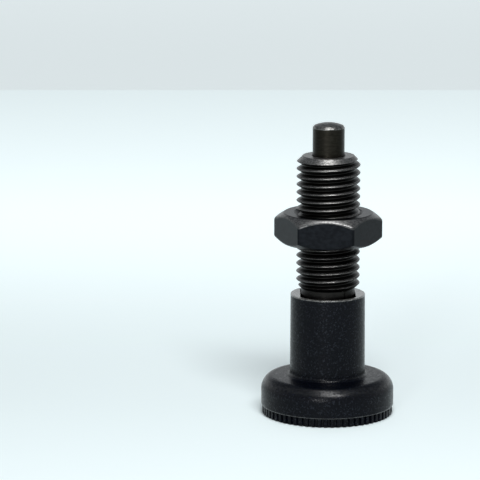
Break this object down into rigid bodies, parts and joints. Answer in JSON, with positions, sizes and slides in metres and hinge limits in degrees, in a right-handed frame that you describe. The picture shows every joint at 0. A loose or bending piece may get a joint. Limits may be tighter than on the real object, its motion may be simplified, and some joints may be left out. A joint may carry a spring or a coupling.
{
  "type": "indexing plunger",
  "caption": "Indexing plunger with a sprung locking pin, threaded guide, hexagon lock nut and round plastic pull knob with a rest position.",
  "frame": {"origin": "centre of the knob's flat end, which the part stands on", "axes": "+Z along the plunger's axis, from the knob to the locking pin's tip; the flats of the guide's head face along X"},
  "size_m": [0.025, 0.025, 0.0555],
  "materials": {
    "guide_steel": "blackened, oiled, with bare metal showing on the crests",
    "pin_steel": "hardened, ground and burnished dark",
    "spring_steel": "drawn wire, satin",
    "knob_plastic": "glass-filled, matte, fine grain",
    "nut_steel": "blackened, oiled, rubbed along the edges"
  },
  "bodies": {
    "guide": {"threaded_guide": "guide_steel"},
    "spring": {"compression_spring": "spring_steel"},
    "plunger": {"locking_pin": "pin_steel", "pull_knob": "knob_plastic"},
    "nut": {"lock_nut": "nut_steel"}
  },
  "joints": [
    {"name": "knob_turn", "type": "hinge", "parent": "guide", "child": "spring", "pos_m": [0, 0, 0.02], "axis": [0, 0, 1], "continuous": true},
    {"name": "pin_pull", "type": "slide", "parent": "spring", "child": "plunger", "axis": [0, 0, -1], "range_m": [0, 0.007], "stiffness_N_per_m": 1333, "springref_m": -0.0045, "deforming": ["compression_spring"]},
    {"name": "nut_travel", "type": "slide", "parent": "guide", "child": "nut", "axis": [0, 0, 1], "range_m": [-0.0075, 0.0105]}
  ]
}
